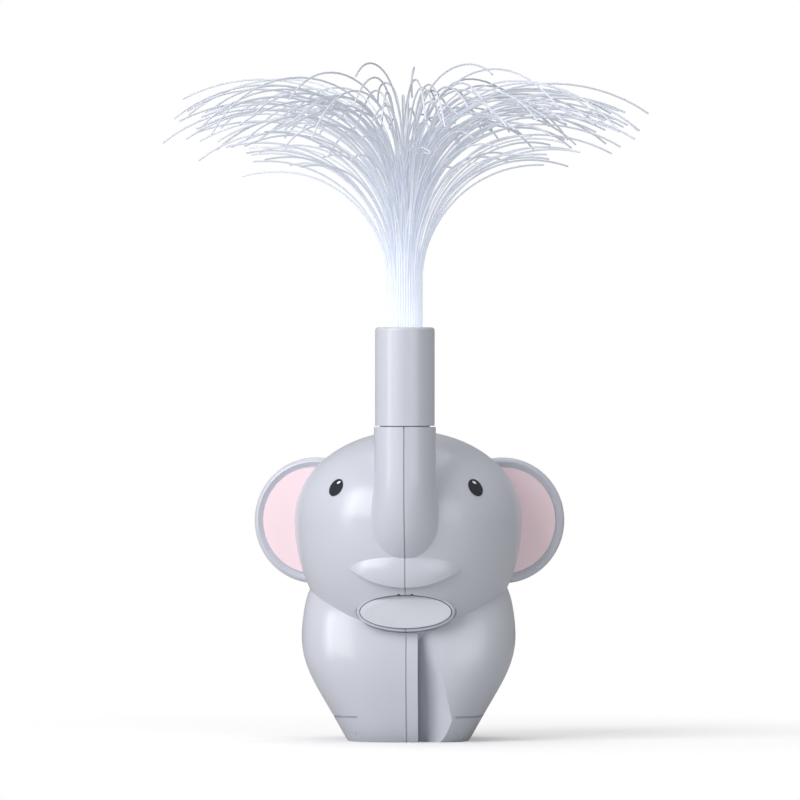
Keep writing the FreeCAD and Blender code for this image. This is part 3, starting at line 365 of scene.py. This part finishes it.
@dataclass
class CarriedNodes:
    """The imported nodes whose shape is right, and the finish that each one wears."""

    finishes: dict[str, Finish] = field(
        default_factory=lambda: {
            "left_shell": GREY_SHELL,
            "right_shell": GREY_SHELL,
            "left_ear": GREY_SHELL,
            "right_ear": GREY_SHELL,
            "battery_door": GREY_SHELL,
            "collar": GREY_SHELL,
            "left_ear_lining": PINK_LINING,
            "right_ear_lining": PINK_LINING,
            "left_eye": EYE_BLACK,
            "right_eye": EYE_BLACK,
            "mode_button": PALE_BUTTON,
            "push_switch": SWITCH_BLACK,
            "control_chip": SWITCH_BLACK,
            "main_board": BOARD_GREEN,
            "led_board": BOARD_GREEN,
            "board_screws": SCREW_STEEL,
            "shell_screws": SCREW_STEEL,
            "door_screw": SCREW_STEEL,
            "led": LED_CLEAR,
            "light_cup": WHITE_CUP,
            "led_wires": WIRE_RED,
            "battery_wires": WIRE_BLACK,
            "battery_box": INNER_GREY,
            "batteries": CELL_JACKET,
            "contact_plates": CONTACT_METAL,
            "contact_springs": CONTACT_METAL,
            "fibre_ferrule": FERRULE_METAL,
        }
    )

    def dress(self, nodes: dict[str, bpy.types.Object]) -> None:
        """Gives each node its finish.

        Args:
            nodes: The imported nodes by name.
        """
        built: dict[str, bpy.types.Material] = {}
        for name, finish in self.finishes.items():
            if finish.name not in built:
                built[finish.name] = finish.build()
            materials = nodes[name].data.materials
            materials.clear()
            materials.append(built[finish.name])
            LOG.info("dressed %s in %s", name, finish.name)


class Spread(Enum):
    """Steps that spread a measure evenly but in no visible order from strand to strand."""

    HEADING = 0.618034
    START = 0.381966
    BEND = 0.754878
    LEAN = 0.569840
    DROOP = 0.255
    TIP = 0.4656
    SWAY = 0.8191725
    PHASE = 0.6710436

    def share(self, index: int) -> float:
        """The measure's place in its range.

        Args:
            index: The strand's number.

        Returns:
            A value from 0 to 1.
        """
        return (index * self.value + 0.5 * self.value) % 1.0

    def offset(self, index: int) -> float:
        """The measure's distance from the middle of its range.

        Args:
            index: The strand's number.

        Returns:
            A value from -0.5 to 0.5.
        """
        return self.share(index) - 0.5


@dataclass
class FibreSpray:
    """The fountain of strands.

    Each has an upright root, an outward arc, a drooping tip and a little sideways sway.
    """

    rings: int = 7
    pitch: float = 0.95 * MM
    strand_radius: float = 0.375 * MM
    trunk_y: float = -46.0 * MM
    foot_z: float = 141.0 * MM
    outer_start_z: float = 184.0 * MM
    inner_start_z: float = 214.0 * MM
    start_spread: float = 8.0 * MM
    bend_radius: float = 50.0 * MM
    bend_spread: float = 9.0 * MM
    tip_radius: float = 64.0 * MM
    tip_radius_spread: float = 26.0 * MM
    outer_tip: float = 10.0 * MM
    inner_tip: float = 56.0 * MM
    tip_spread: float = 16.0 * MM
    lift_power: float = 0.45
    upright_lean: float = 22.0
    ring_twist_rad: float = 0.4
    inner_heading_spread_rad: float = 2.6
    heading_spread_loss_rad: float = 2.0
    wander: float = 2.0 * MM
    sway_half_turns: float = 2.2
    sway_gain: float = 1.2
    straight_share: float = 0.9
    points: int = 26
    sides: int = 8

    def centre_line(self, index: int, ring: int, place: int) -> np.ndarray:
        """Points along one strand.

        Args:
            index: The strand's number in the bundle.
            ring: Its ring, from the middle out.
            place: Its place in that ring.

        Returns:
            One row of x, y, z for each point.
        """
        share = ring / self.rings
        root_angle = 2 * math.pi * place / self._in_ring(ring) + self.ring_twist_rad * ring
        spread = self.inner_heading_spread_rad - self.heading_spread_loss_rad * share
        heading = root_angle + Spread.HEADING.offset(index) * spread
        lift = (1 - share) ** self.lift_power
        start = self.outer_start_z + (self.inner_start_z - self.outer_start_z) * lift
        start += self.start_spread * Spread.START.offset(index)
        radius = self.bend_radius + self.bend_spread * Spread.BEND.offset(index)
        lean = self.upright_lean * (1 - share) * Spread.LEAN.share(index)
        turn = math.radians(90 - lean)
        tip_radius = self.tip_radius + self.tip_radius_spread * Spread.DROOP.offset(index)
        tip = self.outer_tip + (self.inner_tip - self.outer_tip) * lift
        tip += self.tip_spread * Spread.TIP.offset(index)
        straight = start - self.foot_z
        total = straight + radius * turn + tip
        first = straight * self.straight_share
        walked = np.concatenate([[0.0], np.linspace(first, total, self.points - 1)])
        out, up = np.zeros_like(walked), np.zeros_like(walked)
        for row, length in enumerate(walked):
            out[row], up[row] = self._profile(length, straight, radius, turn, tip_radius)
        side = self._sway(index, (walked - straight) / (total - straight))
        root_x = ring * self.pitch * math.cos(root_angle)
        root_y = self.trunk_y + ring * self.pitch * math.sin(root_angle)
        along = (math.cos(heading), math.sin(heading))
        return np.stack(
            [
                root_x + out * along[0] - side * along[1],
                root_y + out * along[1] + side * along[0],
                self.foot_z + up,
            ],
            axis=1,
        )

    def _in_ring(self, ring: int) -> int:
        """How many strands a ring holds.

        Args:
            ring: The ring, from the middle out.

        Returns:
            One in the middle, and six more with each ring.
        """
        return max(1, STRANDS_PER_RING * ring)

    def _sway(self, index: int, walked_share: np.ndarray) -> np.ndarray:
        """Sideways distance of a strand's points from its plane.

        Args:
            index: The strand's number in the bundle.
            walked_share: Each point's share of the free length, below 0 on the root.

        Returns:
            One distance for each point, 0 on the root.
        """
        sway = self.wander * Spread.SWAY.offset(index) * 2.0
        phase = 2 * math.pi * Spread.PHASE.share(index)
        free = np.clip(walked_share, 0.0, 1.0)
        return sway * free * np.sin(self.sway_half_turns * math.pi * free + phase) * self.sway_gain

    def _profile(
        self, length: float, straight: float, radius: float, turn: float, tip_radius: float
    ) -> tuple[float, float]:
        """Reach and rise of a strand at a length from its root.

        Args:
            length: Distance walked along the strand.
            straight: Length of the upright root.
            radius: Radius of the outward arc.
            turn: Angle of that arc, in radians.
            tip_radius: Radius of the drooping tip.

        Returns:
            The distance out and the distance up.
        """
        if length <= straight:
            return 0.0, length
        angle = min(turn, (length - straight) / radius)
        out = radius * (1 - math.cos(angle))
        up = straight + radius * math.sin(angle)
        rest = length - straight - radius * turn
        if rest > 0:
            end = turn + rest / tip_radius
            out += tip_radius * (math.cos(turn) - math.cos(end))
            up += tip_radius * (math.sin(end) - math.sin(turn))
        return out, up

    def build(self) -> bpy.types.Object:
        """Sweeps every strand along its line with geometry nodes.

        The lines are kept within the box of the packed fibres, because their sway
        would otherwise take a few of them past it.

        Returns:
            The spray as one mesh.
        """
        curve = bpy.data.curves.new("fibre_lines", "CURVE")
        curve.dimensions = "3D"
        low, high = (np.array(corner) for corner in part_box("fibres"))
        index = 0
        for ring in range(self.rings + 1):
            for place in range(self._in_ring(ring)):
                points = self.centre_line(index, ring, place)
                points = np.clip(points, low + self.strand_radius, high - self.strand_radius)
                spline = curve.splines.new("POLY")
                spline.points.add(len(points) - 1)
                flat = np.concatenate([points, np.ones((len(points), 1))], axis=1)
                spline.points.foreach_set("co", flat.ravel())
                index += 1
        lines = add_to_scene(bpy.data.objects.new("fibre_lines", curve))
        tree = self._sweep_tree(FibreFinish().build())
        modifier = lines.modifiers.new("sweep", "NODES")
        modifier.node_group = tree
        values = {RADIUS_INPUT: self.strand_radius, SIDES_INPUT: self.sides}
        for item in tree.interface.items_tree:
            if item.name in values:
                modifier[item.identifier] = values[item.name]
        bpy.context.view_layer.update()
        graph = bpy.context.evaluated_depsgraph_get()
        mesh = bpy.data.meshes.new_from_object(lines.evaluated_get(graph))
        bpy.data.objects.remove(lines)
        spray = add_to_scene(bpy.data.objects.new("fibre_spray", mesh))
        LOG.info("fibre_spray: %d strands, %d faces", index, len(mesh.polygons))
        return spray

    def _sweep_tree(self, material: bpy.types.Material) -> bpy.types.NodeTree:
        """A tree that sweeps a round section along every line.

        Args:
            material: The finish of the strands.

        Returns:
            The node tree, with named inputs for the radius and the sides.
        """
        tree = bpy.data.node_groups.new("sweep_strands", "GeometryNodeTree")
        tree.interface.new_socket("Geometry", in_out="INPUT", socket_type="NodeSocketGeometry")
        for name, kind, value in (
            (RADIUS_INPUT, "NodeSocketFloat", self.strand_radius),
            (SIDES_INPUT, "NodeSocketInt", self.sides),
        ):
            socket = tree.interface.new_socket(name, in_out="INPUT", socket_type=kind)
            socket.default_value = value
        tree.interface.new_socket("Geometry", in_out="OUTPUT", socket_type="NodeSocketGeometry")
        source = new_node(tree, "NodeGroupInput")
        out = new_node(tree, "NodeGroupOutput")
        circle = new_node(tree, "GeometryNodeCurvePrimitiveCircle")
        sweep = new_node(tree, "GeometryNodeCurveToMesh", {"Fill Caps": True})
        smooth = new_node(tree, "GeometryNodeSetShadeSmooth")
        dress = new_node(tree, "GeometryNodeSetMaterial", {"Material": material})
        links = tree.links
        links.new(source.outputs[RADIUS_INPUT], circle.inputs["Radius"])
        links.new(source.outputs[SIDES_INPUT], circle.inputs["Resolution"])
        links.new(source.outputs["Geometry"], sweep.inputs["Curve"])
        links.new(circle.outputs["Curve"], sweep.inputs["Profile Curve"])
        links.new(sweep.outputs["Mesh"], smooth.inputs["Geometry"])
        links.new(smooth.outputs["Geometry"], dress.inputs["Geometry"])
        links.new(dress.outputs["Geometry"], out.inputs["Geometry"])
        return tree


@dataclass
class EyeGlints:
    """A small white printed glint near the upper end of each eye."""

    head_centre: Point = (0.0, -6.0 * MM, 88.4 * MM)
    head_half: Point = (45.65 * MM, 42.25 * MM, 35.45 * MM)
    eye_x: float = 27.6 * MM
    eye_z: float = 101.2 * MM
    left_inward: float = 1.1 * MM
    right_inward: float = 0.5 * MM
    upward: float = 2.0 * MM
    half_long: float = 0.85 * MM
    half_short: float = 0.38 * MM
    tilt: float = 32.0
    proud: float = 0.05 * MM
    points: int = 20

    def surface(self, x: float, z: float) -> Vector:
        """The point on the eyes' surface at a place seen from the front.

        Args:
            x: Place across the face.
            z: Height.

        Returns:
            The point, a little proud of the surface.
        """
        across = (x - self.head_centre[0]) / self.head_half[0]
        rise = (z - self.head_centre[2]) / self.head_half[2]
        depth = math.sqrt(1.0 - across * across - rise * rise)
        y = self.head_centre[1] - self.head_half[1] * depth
        normal = Vector(
            (across / self.head_half[0], -depth / self.head_half[1], rise / self.head_half[2])
        ).normalized()
        return Vector((x, y, z)) + normal * self.proud

    def build(self, side: int, material: bpy.types.Material) -> bpy.types.Object:
        """Makes the glint of one eye.

        Args:
            side: -1 for the left eye and 1 for the right one.
            material: Its finish.

        Returns:
            The glint as a small mesh that follows the eye.
        """
        inward = self.left_inward if side < 0 else self.right_inward
        x = side * (self.eye_x - inward)
        z = self.eye_z + self.upward
        lean = -side * math.radians(self.tilt)
        corners = [self.surface(x, z)]
        for step in range(self.points):
            angle = 2 * math.pi * step / self.points
            along = self.half_long * math.cos(angle)
            over = self.half_short * math.sin(angle)
            across = along * math.cos(lean) - over * math.sin(lean)
            rise = along * math.sin(lean) + over * math.cos(lean)
            corners.append(self.surface(x + across, z + rise))
        faces = [(0, step + 1, (step + 1) % self.points + 1) for step in range(self.points)]
        name = "left_eye_glint" if side < 0 else "right_eye_glint"
        mesh = bpy.data.meshes.new(name)
        mesh.from_pydata([tuple(corner) for corner in corners], [], faces)
        mesh.materials.append(material)
        LOG.info("%s: %d faces", name, len(mesh.polygons))
        return add_to_scene(bpy.data.objects.new(name, mesh))


@dataclass(frozen=True)
class PhotoFrame:
    """The photograph's view: a level camera far off, a little to the right of the face."""

    scale: float = 0.4 * MM
    pixels: int = 800
    floor_row: float = 739.5
    centre_column: float = 408.8
    distance: float = 3.0
    azimuth: float = 2.0
    sensor: float = 36.0
    clip_end: float = 20.0

    def build(self) -> None:
        """Makes the camera and looks through it."""
        half = self.pixels / 2
        target = Vector(
            ((half - self.centre_column) * self.scale, 0.0, (self.floor_row - half) * self.scale)
        )
        angle = math.radians(self.azimuth)
        towards = Vector((-math.sin(angle), math.cos(angle), 0.0))
        data = bpy.data.cameras.new("photo_camera")
        data.sensor_width = self.sensor
        data.lens = self.sensor * self.distance / (self.pixels * self.scale)
        data.clip_end = self.clip_end
        camera = add_to_scene(bpy.data.objects.new("photo_camera", data))
        camera.location = target - towards * self.distance
        camera.rotation_euler = towards.to_track_quat("-Z", "Y").to_euler()
        bpy.context.scene.camera = camera


@dataclass(frozen=True)
class SoftBox:
    """One rectangular studio lamp."""

    name: str
    place: Point
    power: float
    width: float
    height: float

    def build(self, target: Vector) -> None:
        """Makes the lamp and turns it to the object.

        Args:
            target: The point that it faces.
        """
        data = bpy.data.lights.new(self.name, "AREA")
        data.shape = "RECTANGLE"
        data.size, data.size_y = self.width, self.height
        data.energy = self.power
        lamp = add_to_scene(bpy.data.objects.new(self.name, data))
        lamp.location = self.place
        lamp.rotation_euler = (target - Vector(self.place)).to_track_quat("-Z", "Y").to_euler()


@dataclass
class Studio:
    """White sweep, plain lamps and the world."""

    lamps: tuple[SoftBox, ...] = (
        SoftBox("key", (-0.75, -0.85, 0.62), power=9.5, width=0.8, height=0.9),
        SoftBox("strip", (-1.04, -0.62, 0.25), power=4.5, width=0.3, height=1.5),
        SoftBox("fill", (0.75, -1.05, 0.3), power=3.6, width=0.8, height=0.9),
        SoftBox("top", (0.0, 0.1, 1.1), power=4.2, width=0.8, height=0.8),
    )
    lamp_target: Point = (0.0, 0.0, 0.10)
    world_level: float = 0.32
    bounce: float = 0.5
    floor_half_side: float = 3.0
    floor_level: float = 0.93
    floor_roughness: float = 0.7
    floor_lift: float = 0.18
    floor_near: float = 0.11
    floor_far: float = 0.26

    def build(self) -> None:
        """Makes the world, the floor and the lamps."""
        self._world()
        self._floor()
        for lamp in self.lamps:
            lamp.build(Vector(self.lamp_target))

    def _world(self) -> None:
        """White for the camera, also through the strands, and a plain level for the rest."""
        world = bpy.data.worlds.new("studio")
        bpy.context.scene.world = world
        world.use_nodes = True
        tree = world.node_tree
        light = tree.nodes["Background"]
        light.inputs["Color"].default_value = WHITE
        light.inputs["Strength"].default_value = self.world_level
        white = new_node(tree, "ShaderNodeBackground", {"Color": WHITE, "Strength": 1.0})
        path = new_node(tree, "ShaderNodeLightPath")
        seen = new_node(tree, "ShaderNodeMath")
        seen.operation = "MAXIMUM"
        mix = new_node(tree, "ShaderNodeMixShader")
        links = tree.links
        links.new(path.outputs["Is Camera Ray"], seen.inputs[0])
        links.new(path.outputs["Is Transmission Ray"], seen.inputs[1])
        links.new(seen.outputs["Value"], mix.inputs["Fac"])
        links.new(light.outputs["Background"], mix.inputs[1])
        links.new(white.outputs["Background"], mix.inputs[2])
        links.new(mix.outputs["Shader"], tree.nodes["World Output"].inputs["Surface"])

    def _floor(self) -> bpy.types.Object:
        """A pale floor that keeps a soft shadow and otherwise shows as white.

        Returns:
            The floor object.
        """
        mesh = bpy.data.meshes.new("floor")
        side = self.floor_half_side
        corners = [(-side, -side, 0), (side, -side, 0), (side, side, 0), (-side, side, 0)]
        mesh.from_pydata(corners, [], [(0, 1, 2, 3)])
        material, shader = new_material("pale_floor")
        tree = material.node_tree
        shader.inputs["Base Color"].default_value = (*[self.floor_level] * 3, 1.0)
        shader.inputs["Roughness"].default_value = self.floor_roughness
        bounce = new_node(tree, "ShaderNodeBsdfDiffuse", {"Color": (*[self.bounce] * 3, 1.0)})
        lift = self._glow(tree, self.floor_lift)
        white = self._glow(tree, 1.0)
        near = new_node(tree, "ShaderNodeAddShader")
        coordinates = new_node(tree, "ShaderNodeTexCoord")
        away = new_node(tree, "ShaderNodeVectorMath")
        away.operation = "LENGTH"
        limits = {"From Min": self.floor_near, "From Max": self.floor_far}
        fade = new_node(tree, "ShaderNodeMapRange", limits)
        path = new_node(tree, "ShaderNodeLightPath")
        shown = new_node(tree, "ShaderNodeMixShader")
        seen = new_node(tree, "ShaderNodeMixShader")
        links = tree.links
        links.new(shader.outputs["BSDF"], near.inputs[0])
        links.new(lift.outputs["Emission"], near.inputs[1])
        links.new(coordinates.outputs["Object"], away.inputs[0])
        links.new(away.outputs["Value"], fade.inputs["Value"])
        links.new(fade.outputs["Result"], shown.inputs["Fac"])
        links.new(near.outputs["Shader"], shown.inputs[1])
        links.new(white.outputs["Emission"], shown.inputs[2])
        links.new(path.outputs["Is Camera Ray"], seen.inputs["Fac"])
        links.new(bounce.outputs["BSDF"], seen.inputs[1])
        links.new(shown.outputs["Shader"], seen.inputs[2])
        links.new(seen.outputs["Shader"], tree.nodes["Material Output"].inputs["Surface"])
        mesh.materials.append(material)
        return add_to_scene(bpy.data.objects.new("floor", mesh))

    def _glow(self, tree: bpy.types.NodeTree, strength: float) -> bpy.types.Node:
        """An even white light from a surface.

        Args:
            tree: The material's tree.
            strength: Its level, where 1 shows as white.

        Returns:
            The emission node.
        """
        return new_node(tree, "ShaderNodeEmission", {"Color": WHITE, "Strength": strength})


def main() -> None:
    """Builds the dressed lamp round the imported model."""
    logging.basicConfig(level=logging.INFO, format="%(name)s: %(message)s")
    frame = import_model()
    scene = bpy.context.scene
    scene.view_settings.view_transform = "Standard"
    PhotoFrame().build()
    Studio().build()
    CarriedNodes().dress(frame["nodes"])
    spray = FibreSpray().build()
    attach(spray, "collar")
    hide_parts("fibres")
    glint_finish = EYE_GLINT.build()
    glints = EyeGlints()
    for side in (-1, 1):
        glint = glints.build(side, glint_finish)
        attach(glint, "body")


if __name__ == "__main__":
    main()
